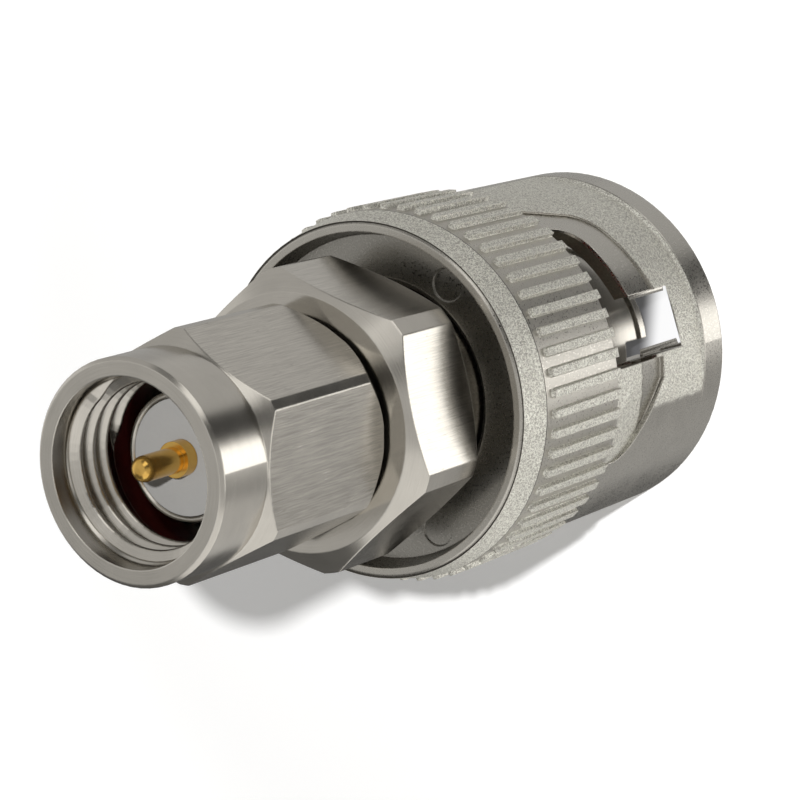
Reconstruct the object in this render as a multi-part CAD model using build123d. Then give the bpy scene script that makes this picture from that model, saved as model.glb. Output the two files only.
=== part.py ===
from build123d import *
from math import asin, cos, degrees, pi, radians, sin
import os

os.makedirs("parts", exist_ok=True)

# Coaxial adapter with a screw-on plug at the top and a bayonet plug at the bottom.
# Everything lies on the Z axis, and the bayonet mouth stands on the plane Z = 0.

# Fits, all of them radial unless the name says otherwise
running_clearance = 0.1
washer_clearance = 0.06
ring_clearance = 0.07
axial_clearance = 0.1
wave_clearance = 0.01
jack_clearance = 0.05
finger_clearance = 0.04
stud_clearance = 0.2
stud_tip_clearance = 0.45

# Sizes set by the mating jacks
jack_radius = 4.85
jack_wall = 0.75
stud_radius = 1.0
stud_length = 0.7
thread_major_radius = 3.175
thread_length = 2.3

# Bayonet coupling, outside
coupling_length = 15.15
chamber_wall = 0.75
mouth_flange_step = 0.15
mouth_flange_length = 1.6
mouth_edge_bevel = 0.2
knurl_step = 0.22
knurl_length = 4.9
rib_height = 0.18
rib_count = 58
rib_phase = 0.0
rib_root_share = 0.6
rib_crest_share = 0.42
rib_end_bevel = 0.12
rim_land = 0.3
rim_edge_setback = 1.25
rim_cone_width = 0.25
rim_groove_width = 0.08
rim_groove_depth = 0.1
rim_land_width = 0.32
rim_land_bevel = 0.06

# Bayonet coupling, recessed rear wall
recess_depth = 0.95
recess_taper = 0.2
rear_wall_thickness = 1.2
rear_bore_bevel = 0.25
ejector_mark_count = 3
ejector_mark_share = 0.8
ejector_mark_depth = 0.06
ejector_mark_angle = 51.0

# Bayonet coupling, inside: angles count from the middle of a window
mouth_bore_bevel = 0.3
bayonet_count = 2
window_angle = 12.0
cam_start = 2.9
cam_rise = 1.1
lock_turn = 80.0
lock_depth = 0.3

# Window and the arched opening behind it, as tangential offsets and heights
window_front = 3.3
window_upper_offset = 1.17
window_lower_offset = 1.27
window_edge_wall = 0.08
window_sight_bevel = 1.4
arch_front = 6.0
arch_rise = 0.45
arch_shoulder_offset = 4.15
arch_tip_offset = 4.65
arch_corner = 1.2
ledge_offset = 1.4
ledge_front = 5.2

# Shallow surfaces round the opening, and the thicker wall beyond it
band_depth = 0.1
band_front = 4.1
band_rise = 0.75
band_shoulder_offset = 4.6
band_tip_offset = 5.6
band_corner = 1.5
scoop_depth = 0.2
scoop_front = 4.7
scoop_reach = 4.75
scoop_shoulder_share = 0.6
scoop_corner_share = 0.4
cover_near_angle = -32.0
cover_far_angle = -97.0
cover_run_out = 18.0
cover_run_in = 0.02

# Screw-on plug nut
nut_gap = 0.2
nut_length = 9.3
nut_across_flats = 7.94
nut_turned_step = 0.505
nut_flat_angle = -6.2
nut_lip_step = 0.045
nut_lip_length = 2.48
nut_lip_bevel = 0.13
nut_shoulder_length = 0.42
nut_rear_bevel_length = 0.8
nut_rear_face_step = 0.02
nut_counterbore_depth = 0.77
nut_entry_bevel = 0.105
nut_groove_depth = 0.125
nut_wall_length = 1.4

# Hexagonal body
flange_gap = 0.65
flange_length = 4.0
flange_across_flats = 10.0
flange_turned_step = 0.59
flange_flat_angle = 6.4
flange_top_face_step = 0.25
flange_top_bevel = 0.48
flange_rear_bevel = 0.38
ferrule_wall = 0.25
ferrule_setback = 2.9
ferrule_edge_bevel = 0.08
journal_step = 0.45
journal_length = 3.6
snap_groove_depth = 0.4
snap_groove_width = 0.7
snap_ring_gap = 1.6
socket_depth = 3.2

# Screw side insulator, gasket and pin
sma_insulator_radius = 2.05
sma_insulator_setback = 0.05
sma_gasket_thickness = 1.1
sma_pin_radius = 0.457
sma_pin_reach = 2.4
sma_pin_tip_round = 0.35
sma_collar_radius = 0.635
sma_collar_height = 0.45
sma_tail_radius = 0.45
sma_tail_length = 1.7

# Barrel that carries the bayonet coupling
barrel_flange_step = 0.6
barrel_flange_length = 1.15
barrel_stub_step = 0.7
barrel_stub_wall = 1.1
barrel_stub_gap = 0.2
barrel_edge_bevel = 0.1

# Slotted outer contact
finger_front = 1.0
finger_wall = 0.45
finger_tip_step = 0.11
finger_tip_length = 0.8
finger_slot_count = 4
finger_slot_width = 0.75
finger_slot_length = 1.7
finger_slot_angle = -2.3
finger_edge_bevel = 0.2
contact_collar_step = 0.1
contact_collar_length = 2.85
contact_shank_step = 0.25
contact_shank_length = 3.15

# Bayonet side insulator, gasket and pin
bnc_insulator_step = 0.2
bnc_insulator_reach = 3.65
bnc_pin_radius = 0.675
bnc_pin_length = 3.4
bnc_pin_tip_bevel = 0.3
bnc_contact_radius = 1.1
bnc_contact_reach = 1.2
bnc_socket_length = 1.9
bnc_gasket_thickness = 1.2

# Washers that press the coupling against the barrel
thrust_washer_thickness = 0.2
wave_washer_thickness = 0.15
wave_height = 0.6
wave_washer_count = 2
wave_count = 3

# Radii that follow from the sizes above
coupling_bore_radius = jack_radius + jack_clearance
entry_radius = stud_radius + stud_clearance
chamber_radius = jack_radius + stud_length + stud_tip_clearance
neck_radius = chamber_radius + chamber_wall
mouth_flange_radius = neck_radius + mouth_flange_step
knurl_root_radius = neck_radius + knurl_step
rim_cone_top_radius = knurl_root_radius - rim_cone_width
rim_land_radius = rim_cone_top_radius - rim_groove_width
rim_lip_radius = rim_land_radius - rim_land_width
recess_floor_radius = rim_lip_radius - recess_taper
barrel_flange_radius = coupling_bore_radius - running_clearance
barrel_neck_radius = barrel_flange_radius - barrel_flange_step
barrel_stub_radius = barrel_neck_radius - barrel_stub_step
rear_bore_radius = barrel_neck_radius + running_clearance
nut_apothem = nut_across_flats / 2
nut_turned_radius = nut_apothem + nut_turned_step
nut_lip_radius = nut_apothem - nut_lip_step
nut_counterbore_radius = thread_major_radius + nut_entry_bevel
nut_groove_radius = thread_major_radius + nut_groove_depth
flange_apothem = flange_across_flats / 2
flange_turned_radius = flange_apothem + flange_turned_step
flange_top_face_radius = flange_apothem - flange_top_face_step
ferrule_radius = sma_insulator_radius + ferrule_wall
journal_radius = ferrule_radius + journal_step
nut_bore_radius = journal_radius + running_clearance
snap_groove_radius = journal_radius - snap_groove_depth
snap_ring_radius = nut_groove_radius - running_clearance
finger_tip_radius = jack_radius - jack_wall - finger_clearance
finger_radius = finger_tip_radius - finger_tip_step
finger_bore_radius = finger_radius - finger_wall
contact_collar_radius = finger_radius + contact_collar_step
contact_shank_radius = finger_radius - contact_shank_step
bnc_insulator_radius = finger_bore_radius - bnc_insulator_step
bnc_insulator_rear_radius = barrel_stub_radius - barrel_stub_wall
washer_bore_radius = barrel_neck_radius + washer_clearance
washer_outer_radius = coupling_bore_radius - running_clearance

# Heights that follow, from the mouth upwards
cam_end = cam_start + cam_rise
rim_edge = coupling_length - rim_edge_setback
knurl_rear = rim_edge - rim_land
knurl_front = knurl_rear - knurl_length
recess_floor = coupling_length - recess_depth
rear_wall_front = recess_floor - rear_wall_thickness
wave_space = wave_height * wave_washer_count
barrel_flange_rear = rear_wall_front - 2 * thrust_washer_thickness - wave_space
barrel_flange_front = barrel_flange_rear - barrel_flange_length
finger_root = barrel_flange_front - contact_collar_length
contact_shank_top = barrel_flange_front + contact_shank_length
bnc_insulator_front = barrel_flange_front - bnc_insulator_reach
bnc_pin_front = bnc_insulator_front - bnc_pin_length
flange_rear = coupling_length + flange_gap
flange_top = flange_rear + flange_length
socket_top = flange_rear + socket_depth
barrel_stub_top = socket_top - barrel_stub_gap
bnc_contact_top = flange_rear + bnc_contact_reach
nut_rear = flange_top + nut_gap
nut_top = nut_rear + nut_length
snap_groove_bottom = nut_rear + nut_wall_length
snap_groove_top = snap_groove_bottom + snap_groove_width
journal_top = flange_top + journal_length
ferrule_top = nut_top - ferrule_setback
sma_pin_top = ferrule_top + sma_pin_reach


# Solid of revolution about Z from (radius, height) corners
def turned(*corners):
    return revolve(Plane.XZ * make_face(Polyline(*corners, close=True)), Axis.Z)


# Plain sleeve between two heights
def sleeve(outer, inner, bottom, top):
    return turned((inner, bottom), (outer, bottom), (outer, top), (inner, top))


# Prism with six flats, one of them facing the given angle
def hex_prism(across_flats, flat_angle, bottom, top):
    sketch = RegularPolygon(across_flats / 2, 6, major_radius=False, rotation=flat_angle + 30)
    return Pos(0, 0, bottom) * extrude(sketch, top - bottom)


# Part of a sleeve between two angles
def sector(outer, inner, bottom, top, start, end):
    corners = ((inner, bottom), (outer, bottom), (outer, top), (inner, top))
    face = Plane.XZ * make_face(Polyline(*corners, close=True))
    return Rot(0, 0, start) * revolve(face, Axis.Z, end - start)


# Solid pushed outwards through the wall from a (tangential, axial) outline
def radial_tool(outline, floor_radius=0):
    face = Plane(origin=(0, 0, 0), x_dir=(0, 1, 0), z_dir=(1, 0, 0)) * outline
    tool = extrude(face, 2 * mouth_flange_radius)
    return tool - Cylinder(floor_radius, 2 * coupling_length) if floor_radius else tool


# Copies of a tool at every bayonet position, turned to the given angle
def at_bayonets(tool, angle):
    step = 360 / bayonet_count
    return [Rot(0, 0, angle + step * n) * tool for n in range(bayonet_count)]


# Nut with a turned guard lip, milled flats and a bore left plain at the thread's major size
def sma_nut():
    hex_top = nut_top - nut_lip_length - nut_shoulder_length
    entry = nut_top - nut_counterbore_depth
    thread_end = entry - nut_entry_bevel - thread_length
    blank = turned(
        (nut_bore_radius, nut_rear),
        (nut_apothem + nut_rear_face_step, nut_rear),
        (nut_turned_radius, nut_rear + nut_rear_bevel_length),
        (nut_turned_radius, hex_top),
        (nut_lip_radius, nut_top - nut_lip_length),
        (nut_lip_radius, nut_top - nut_lip_bevel),
        (nut_lip_radius - nut_lip_bevel, nut_top),
        (nut_counterbore_radius, nut_top),
        (nut_counterbore_radius, entry),
        (thread_major_radius, entry - nut_entry_bevel),
        (thread_major_radius, thread_end),
        (nut_groove_radius, thread_end),
        (nut_groove_radius, snap_groove_bottom),
        (nut_bore_radius, snap_groove_bottom),
    )
    flats = hex_prism(nut_across_flats, nut_flat_angle, nut_rear, nut_top)
    return blank & flats


# Body with the wrench flange, the nut's journal and the inner ferrule
def hex_body():
    blank = turned(
        (sma_insulator_radius, socket_top),
        (sma_insulator_radius, ferrule_top - ferrule_edge_bevel),
        (sma_insulator_radius + ferrule_edge_bevel, ferrule_top),
        (ferrule_radius - ferrule_edge_bevel, ferrule_top),
        (ferrule_radius, ferrule_top - ferrule_edge_bevel),
        (ferrule_radius, journal_top),
        (journal_radius, journal_top),
        (journal_radius, snap_groove_top),
        (snap_groove_radius, snap_groove_top),
        (snap_groove_radius, snap_groove_bottom),
        (journal_radius, snap_groove_bottom),
        (journal_radius, flange_top),
        (flange_top_face_radius, flange_top),
        (flange_turned_radius, flange_top - flange_top_bevel),
        (flange_turned_radius, flange_rear + flange_rear_bevel),
        (flange_apothem, flange_rear),
        (barrel_stub_radius, flange_rear),
        (barrel_stub_radius, socket_top),
    )
    flats = hex_prism(flange_across_flats, flange_flat_angle, flange_rear, nut_top)
    return blank & flats


# Split ring that holds the nut on the body
def snap_ring():
    bottom = snap_groove_bottom + axial_clearance
    thickness = snap_groove_width - 2 * axial_clearance
    ring = sleeve(snap_ring_radius, snap_groove_radius + ring_clearance, bottom, bottom + thickness)
    gap = Box(2 * snap_ring_radius, snap_ring_gap, 2 * thickness)
    return ring - Pos(snap_ring_radius, 0, bottom) * gap


# Flat seal on the ferrule's shoulder
def sma_gasket():
    return sleeve(journal_radius, ferrule_radius, journal_top, journal_top + sma_gasket_thickness)


# Insulator inside the ferrule
def sma_insulator():
    top = ferrule_top - sma_insulator_setback
    return sleeve(sma_insulator_radius, sma_collar_radius, socket_top, top)


# Screw side pin with a rounded tip, its collar and the tail that enters the other contact
def sma_pin():
    collar_top = ferrule_top + sma_collar_height
    bottom = bnc_contact_top - sma_tail_length
    pin = turned(
        (0, bottom),
        (sma_tail_radius, bottom),
        (sma_tail_radius, bnc_contact_top),
        (sma_collar_radius, bnc_contact_top),
        (sma_collar_radius, collar_top),
        (sma_pin_radius, collar_top),
        (sma_pin_radius, sma_pin_top),
        (0, sma_pin_top),
    )
    tip_edge = pin.edges().filter_by(GeomType.CIRCLE).sort_by(Axis.Z)[-1]
    return fillet(tip_edge, sma_pin_tip_round)


# Barrel with the flange that holds the coupling and the stub that enters the body
def bnc_barrel():
    return turned(
        (contact_shank_radius, barrel_flange_front),
        (barrel_flange_radius - barrel_edge_bevel, barrel_flange_front),
        (barrel_flange_radius, barrel_flange_front + barrel_edge_bevel),
        (barrel_flange_radius, barrel_flange_rear),
        (barrel_neck_radius, barrel_flange_rear),
        (barrel_neck_radius, flange_rear),
        (barrel_stub_radius, flange_rear),
        (barrel_stub_radius, barrel_stub_top),
        (bnc_insulator_rear_radius, barrel_stub_top),
        (bnc_insulator_rear_radius, contact_shank_top),
        (contact_shank_radius, contact_shank_top),
    )


# Sprung outer contact, slotted from its front end into equal fingers
def outer_contact():
    tube = turned(
        (finger_bore_radius, finger_front),
        (finger_tip_radius - finger_edge_bevel, finger_front),
        (finger_tip_radius, finger_front + finger_edge_bevel),
        (finger_tip_radius, finger_front + finger_tip_length - finger_edge_bevel),
        (finger_radius, finger_front + finger_tip_length),
        (finger_radius, finger_root),
        (contact_collar_radius, finger_root),
        (contact_collar_radius, barrel_flange_front),
        (contact_shank_radius, barrel_flange_front),
        (contact_shank_radius, contact_shank_top),
        (bnc_insulator_radius, contact_shank_top),
        (bnc_insulator_radius, bnc_insulator_front),
        (finger_bore_radius, bnc_insulator_front),
    )
    slot = Pos(finger_radius, 0, finger_front + finger_slot_length / 2) * Box(
        finger_radius, finger_slot_width, finger_slot_length
    )
    for n in range(finger_slot_count):
        tube -= Rot(0, 0, finger_slot_angle + 360 / finger_slot_count * n) * slot
    return tube


# Stepped insulator between the outer contact and the pin
def bnc_insulator():
    return turned(
        (bnc_contact_radius, bnc_insulator_front),
        (bnc_insulator_radius, bnc_insulator_front),
        (bnc_insulator_radius, contact_shank_top),
        (bnc_insulator_rear_radius, contact_shank_top),
        (bnc_insulator_rear_radius, barrel_stub_top),
        (sma_collar_radius, barrel_stub_top),
        (sma_collar_radius, bnc_contact_top),
        (bnc_contact_radius, bnc_contact_top),
    )


# Bayonet side pin with the socket for the screw side pin
def bnc_pin():
    socket_bottom = bnc_contact_top - bnc_socket_length
    return turned(
        (0, bnc_pin_front),
        (bnc_pin_radius - bnc_pin_tip_bevel, bnc_pin_front),
        (bnc_pin_radius, bnc_pin_front + bnc_pin_tip_bevel),
        (bnc_pin_radius, bnc_insulator_front),
        (bnc_contact_radius, bnc_insulator_front),
        (bnc_contact_radius, bnc_contact_top),
        (sma_tail_radius, bnc_contact_top),
        (sma_tail_radius, socket_bottom),
        (0, socket_bottom),
    )


# Flat seal that the mating front face presses on
def bnc_gasket():
    front = barrel_flange_front - bnc_gasket_thickness
    return sleeve(barrel_flange_radius, contact_collar_radius, front, barrel_flange_front)


# Flat washer standing on the given height
def thrust_washer(bottom):
    return sleeve(washer_outer_radius, washer_bore_radius, bottom, bottom + thrust_washer_thickness)


# Wavy spring washer filling one of the two spring spaces
def wave_washer(bottom, phase):
    swing = (wave_height - wave_washer_thickness) / 2 - wave_clearance
    middle = bottom + (wave_height - wave_washer_thickness) / 2
    steps = 8 * wave_count

    def rim(radius):
        turns = [2 * pi * n / steps for n in range(steps)]
        crests = [middle + swing * cos(wave_count * turn + phase) for turn in turns]
        return Spline(
            *((radius * cos(turn), radius * sin(turn), crest) for turn, crest in zip(turns, crests)),
            periodic=True,
        )

    surface = Face.make_surface_from_curves(rim(washer_bore_radius), rim(washer_outer_radius))
    return extrude(surface, wave_washer_thickness, dir=(0, 0, 1))


# Ring of ribs standing on the coupling, with bevelled ends
def knurl_ring():
    crest = knurl_root_radius + rib_height
    ring = turned(
        (neck_radius - rib_height, knurl_front),
        (knurl_root_radius, knurl_front),
        (crest, knurl_front + rib_end_bevel),
        (crest, knurl_rear - rib_end_bevel),
        (knurl_root_radius, knurl_rear),
        (neck_radius - rib_height, knurl_rear),
    )
    pitch = 2 * pi * knurl_root_radius / rib_count
    floor = pitch * (1 - rib_root_share) / 2
    mouth = pitch * (1 - rib_crest_share) / 2
    over = 2 * mouth - floor
    profile = make_face(
        Polyline(
            (knurl_root_radius, -floor),
            (crest + rib_height, -over),
            (crest + rib_height, over),
            (knurl_root_radius, floor),
            close=True,
        )
    )
    groove = Pos(0, 0, knurl_front) * extrude(profile, knurl_length)
    return ring - [Rot(0, 0, rib_phase + 360 / rib_count * (n + 0.5)) * groove for n in range(rib_count)]


# Turned shape of the coupling, bored right through
def coupling_shell():
    return turned(
        (coupling_bore_radius + mouth_bore_bevel, 0),
        (mouth_flange_radius - mouth_edge_bevel, 0),
        (mouth_flange_radius, mouth_edge_bevel),
        (mouth_flange_radius, mouth_flange_length),
        (neck_radius, mouth_flange_length + (mouth_flange_radius - neck_radius)),
        (neck_radius, knurl_front),
        (knurl_root_radius, knurl_front),
        (knurl_root_radius, rim_edge),
        (rim_cone_top_radius, coupling_length - rim_land_bevel),
        (rim_land_radius, coupling_length - rim_groove_depth),
        (rim_land_radius, coupling_length - rim_land_bevel),
        (rim_land_radius - rim_land_bevel, coupling_length),
        (rim_lip_radius, coupling_length),
        (recess_floor_radius, recess_floor),
        (rear_bore_radius + rear_bore_bevel, recess_floor),
        (rear_bore_radius, recess_floor - rear_bore_bevel),
        (rear_bore_radius, rear_wall_front),
        (coupling_bore_radius, rear_wall_front),
        (coupling_bore_radius, mouth_bore_bevel),
    )


# Thickened wall beside a window, blended into the neck by smooth run-outs
def wall_cover():
    def on(radius, angle):
        return (radius * cos(radians(angle)), radius * sin(radians(angle)))

    def run_out(foot_angle, crest_angle):
        ends = (on(neck_radius - cover_run_in, foot_angle), on(mouth_flange_radius, crest_angle))
        return Spline(*ends, tangents=[on(1, angle - 90) for angle in (foot_angle, crest_angle)])

    middle = (cover_near_angle + cover_far_angle) / 2
    near = run_out(cover_near_angle + cover_run_out, cover_near_angle)
    far = Rot(0, 0, 2 * middle) * mirror(near, Plane.XZ)
    outline = [
        near,
        ThreePointArc(near @ 1, on(mouth_flange_radius, middle), far @ 1),
        far,
        ThreePointArc(far @ 0, on(chamber_radius, middle), near @ 0),
    ]
    height = knurl_front - mouth_edge_bevel
    return Pos(0, 0, mouth_edge_bevel) * extrude(make_face(outline), height)


# Window, and the arched opening that runs on from it to the ribs
def window_tool():
    outline = make_face(
        Polyline(
            (-ledge_offset, knurl_front),
            (-ledge_offset, ledge_front),
            (-window_lower_offset, ledge_front),
            (-window_lower_offset, window_front),
            (window_upper_offset, window_front),
            (window_upper_offset, arch_front),
            (arch_shoulder_offset, arch_front + arch_rise),
            (arch_tip_offset, knurl_front),
            close=True,
        )
    )
    shoulder = outline.vertices().sort_by(Axis.X)[-2]
    return radial_tool(fillet(shoulder, arch_corner))


# Bevel that thins the wall in front of the window and opens the line of sight
def sight_tool():
    width = window_upper_offset + window_lower_offset
    outline = make_face(
        Polyline(
            (coupling_bore_radius, window_front),
            (neck_radius - window_edge_wall, window_front),
            (chamber_radius, window_front - window_sight_bevel),
            (coupling_bore_radius, window_front - window_sight_bevel),
            close=True,
        )
    )
    wedge = extrude(Plane.XZ * outline, width)
    return Pos(0, window_upper_offset, 0) * wedge


# Shallow smooth band along the arch
def band_tool():
    outline = make_face(
        Polyline(
            (window_upper_offset, band_front),
            (band_shoulder_offset, band_front + band_rise),
            (band_tip_offset, knurl_front),
            (window_upper_offset, knurl_front),
            close=True,
        )
    )
    shoulder = outline.vertices().sort_by(Axis.X)[-2]
    return radial_tool(fillet(shoulder, band_corner), neck_radius - band_depth)


# Shallow scoop on the other side of the window, deepest along its curved front edge
def scoop_tool():
    height = knurl_front - scoop_front
    corner_radius = scoop_corner_share * height
    outline = make_face(
        Polyline(
            (-ledge_offset, scoop_front),
            (-ledge_offset - corner_radius / 2, scoop_front),
            (-scoop_reach, scoop_front + scoop_shoulder_share * height),
            (-scoop_reach, knurl_front),
            (-ledge_offset, knurl_front),
            close=True,
        )
    )
    corner = outline.vertices().sort_by(Axis.X)[:2].sort_by(Axis.Y)[0]
    floor = turned(
        (0, 0),
        (neck_radius - scoop_depth, 0),
        (neck_radius - scoop_depth, scoop_front),
        (mouth_flange_radius, knurl_front),
        (0, knurl_front),
    )
    return radial_tool(fillet(corner, corner_radius)) - floor


# Entry slot, rising cam and latch notch of one stud, all open to the chamber behind the cam
def track_tool():
    inner = coupling_bore_radius - running_clearance
    depth = chamber_radius - inner
    middle = inner + depth / 2
    block = 2 * cam_rise
    stop = lock_turn + degrees(asin(entry_radius / chamber_radius))
    ledge = degrees(asin(ledge_offset / chamber_radius))
    entry = Pos(middle, 0, cam_end / 2) * Box(depth, 2 * entry_radius, cam_end)
    chamber = sector(chamber_radius, inner, cam_end, knurl_front, -ledge, stop)
    path = Helix(pitch=cam_rise * 360 / lock_turn, height=cam_rise, radius=middle)
    section = Plane(origin=(middle, 0, 0), x_dir=(1, 0, 0), z_dir=path % 0) * Rectangle(depth, block)
    cam = Pos(0, 0, cam_start + block / 2) * sweep(section, path, is_frenet=True)
    latch_height = cam_end - lock_depth + entry_radius
    latch = Plane(origin=(inner, 0, latch_height), z_dir=(1, 0, 0)) * Circle(entry_radius)
    return entry + chamber + cam + Rot(0, 0, lock_turn) * extrude(latch, depth)


# Round marks left by the ejectors on the recessed wall
def ejector_marks():
    inner = rear_bore_radius + rear_bore_bevel
    mark_radius = ejector_mark_share * (recess_floor_radius - inner) / 2
    middle = (recess_floor_radius + inner) / 2
    mark = Pos(middle, 0, recess_floor) * Cylinder(mark_radius, 2 * ejector_mark_depth)
    step = 360 / ejector_mark_count
    return [Rot(0, 0, ejector_mark_angle + step * n) * mark for n in range(ejector_mark_count)]


# Bayonet coupling: ribs outside, and inside two stud tracks, each with a window to the outside
def bayonet_coupling():
    coupling = coupling_shell() + knurl_ring()
    coupling += at_bayonets(wall_cover(), window_angle)
    for tool in (band_tool(), scoop_tool(), track_tool(), window_tool(), sight_tool()):
        coupling -= at_bayonets(tool, window_angle)
    return coupling - ejector_marks()


pieces = {
    "hex_body": hex_body(),
    "sma_nut": sma_nut(),
    "sma_snap_ring": snap_ring(),
    "sma_gasket": sma_gasket(),
    "sma_insulator": sma_insulator(),
    "sma_pin": sma_pin(),
    "bnc_barrel": bnc_barrel(),
    "bnc_outer_contact": outer_contact(),
    "bnc_insulator": bnc_insulator(),
    "bnc_pin": bnc_pin(),
    "bnc_gasket": bnc_gasket(),
    "thrust_washer_front": thrust_washer(barrel_flange_rear),
    "thrust_washer_rear": thrust_washer(rear_wall_front - thrust_washer_thickness),
    "wave_washer_front": wave_washer(barrel_flange_rear + thrust_washer_thickness, 0),
    "wave_washer_rear": wave_washer(barrel_flange_rear + thrust_washer_thickness + wave_height, pi),
    "bayonet_coupling": bayonet_coupling(),
}

for name, solid in pieces.items():
    export_step(solid, f"parts/{name}.step")
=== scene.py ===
"""Looks of a coaxial adapter with a screw-on plug and a bayonet plug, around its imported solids."""

import logging
import math
from dataclasses import dataclass, field
from enum import Enum
from typing import Any, Mapping, Union

import bmesh
import bpy
import numpy as np
from mathutils import Matrix, Vector


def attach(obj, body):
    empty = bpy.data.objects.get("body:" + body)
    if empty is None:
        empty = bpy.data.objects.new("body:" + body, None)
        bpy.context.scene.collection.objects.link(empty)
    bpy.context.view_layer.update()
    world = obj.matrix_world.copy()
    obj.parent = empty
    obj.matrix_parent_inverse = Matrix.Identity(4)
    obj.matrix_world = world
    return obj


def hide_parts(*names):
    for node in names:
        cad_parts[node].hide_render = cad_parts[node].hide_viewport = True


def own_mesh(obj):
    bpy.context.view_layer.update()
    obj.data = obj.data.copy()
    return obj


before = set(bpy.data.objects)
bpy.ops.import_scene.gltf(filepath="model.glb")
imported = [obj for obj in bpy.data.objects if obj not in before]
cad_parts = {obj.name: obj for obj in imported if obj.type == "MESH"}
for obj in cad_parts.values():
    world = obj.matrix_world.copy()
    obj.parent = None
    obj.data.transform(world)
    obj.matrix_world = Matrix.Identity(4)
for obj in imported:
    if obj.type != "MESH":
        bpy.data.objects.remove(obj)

LOG = logging.getLogger("adapter")
MM = 0.001
MERGE_DISTANCE = 0.0002  # millimetres within which imported points are one
BEVEL_SAMPLES = 6
EDGE_COSINES = (0.995, 0.90)  # cosines between normals on a face and on an edge, which wear and a painted highlight make bright
MIX_FACTOR, MIX_FIRST, MIX_SECOND, MIX_RESULT = 0, 6, 7, 2  # the Mix node's colour sockets
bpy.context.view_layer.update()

Colour = tuple[float, float, float]
Number = Union["Sock", float, int]


class Sock:
    """An output socket on which Python arithmetic adds Math nodes."""

    def __init__(self, graph: "Graph", socket: bpy.types.NodeSocket) -> None:
        """Wraps one socket of a tree."""
        self.graph = graph
        self.socket = socket

    def math(self, operation: str, *others: Number) -> "Sock":
        """Applies one Math node.

        Args:
            operation: The Math node's operation.
            others: The second and third operands.

        Returns:
            The node's value.
        """
        inputs = dict(enumerate((self, *others)))
        return self.graph.node("ShaderNodeMath", {"operation": operation}, inputs)

    def __add__(self, other: Number) -> "Sock":
        """Sum."""
        return self.math("ADD", other)

    __radd__ = __add__

    def __mul__(self, other: Number) -> "Sock":
        """Product."""
        return self.math("MULTIPLY", other)

    __rmul__ = __mul__

    def __sub__(self, other: Number) -> "Sock":
        """Difference."""
        return self.math("SUBTRACT", other)

    def __rsub__(self, other: Number) -> "Sock":
        """Reflected difference."""
        return self.math("MULTIPLY_ADD", -1.0, other)

    def __truediv__(self, other: Number) -> "Sock":
        """Quotient."""
        return self.math("DIVIDE", other)

    def step(self, low: Number, high: Number) -> "Sock":
        """Smooth step from 0 at low to 1 at high; low may be the larger one.

        Args:
            low: Value at which the result is 0.
            high: Value at which the result is 1.

        Returns:
            The step.
        """
        return self.graph.node(
            "ShaderNodeMapRange",
            {"interpolation_type": "SMOOTHSTEP"},
            {"Value": self, "From Min": low, "From Max": high},
        )

    def window(self, low: float, high: float, edge: float) -> "Sock":
        """1 between two values, falling smoothly to 0 within an edge outside them.

        Args:
            low: Lower end.
            high: Upper end.
            edge: Width of the soft edge.

        Returns:
            The mask.
        """
        return self.step(low - edge, low) * self.step(high + edge, high)


class Graph:
    """A node tree that one method fills."""

    def __init__(self, tree: bpy.types.NodeTree) -> None:
        """Starts from an emptied tree."""
        tree.nodes.clear()
        self.tree = tree

    def node(
        self,
        kind: str,
        settings: Mapping[str, Any] | None = None,
        inputs: Mapping[Union[str, int], Any] | None = None,
        out: Union[str, int] = 0,
    ) -> Sock | None:
        """Adds a node.

        Args:
            kind: The node's type.
            settings: Its own properties, set before its sockets.
            inputs: Values or sockets for its inputs, by name or number.
            out: The output to return.

        Returns:
            That output, or nothing where the node has none.
        """
        node = self.tree.nodes.new(kind)
        for name, value in (settings or {}).items():
            setattr(node, name, value)
        for name, value in (inputs or {}).items():
            if isinstance(value, Sock):
                self.tree.links.new(value.socket, node.inputs[name])
            else:
                node.inputs[name].default_value = value
        return Sock(self, node.outputs[out]) if len(node.outputs) else None

    def split(self, vector: Sock) -> tuple[Sock, Sock, Sock]:
        """The three parts of a vector."""
        node = self.node("ShaderNodeSeparateXYZ", None, {0: vector}).socket.node
        return tuple(Sock(self, socket) for socket in node.outputs)

    def join(self, x: Number, y: Number, z: Number) -> Sock:
        """A vector of three parts."""
        return self.node("ShaderNodeCombineXYZ", None, {0: x, 1: y, 2: z})


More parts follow.
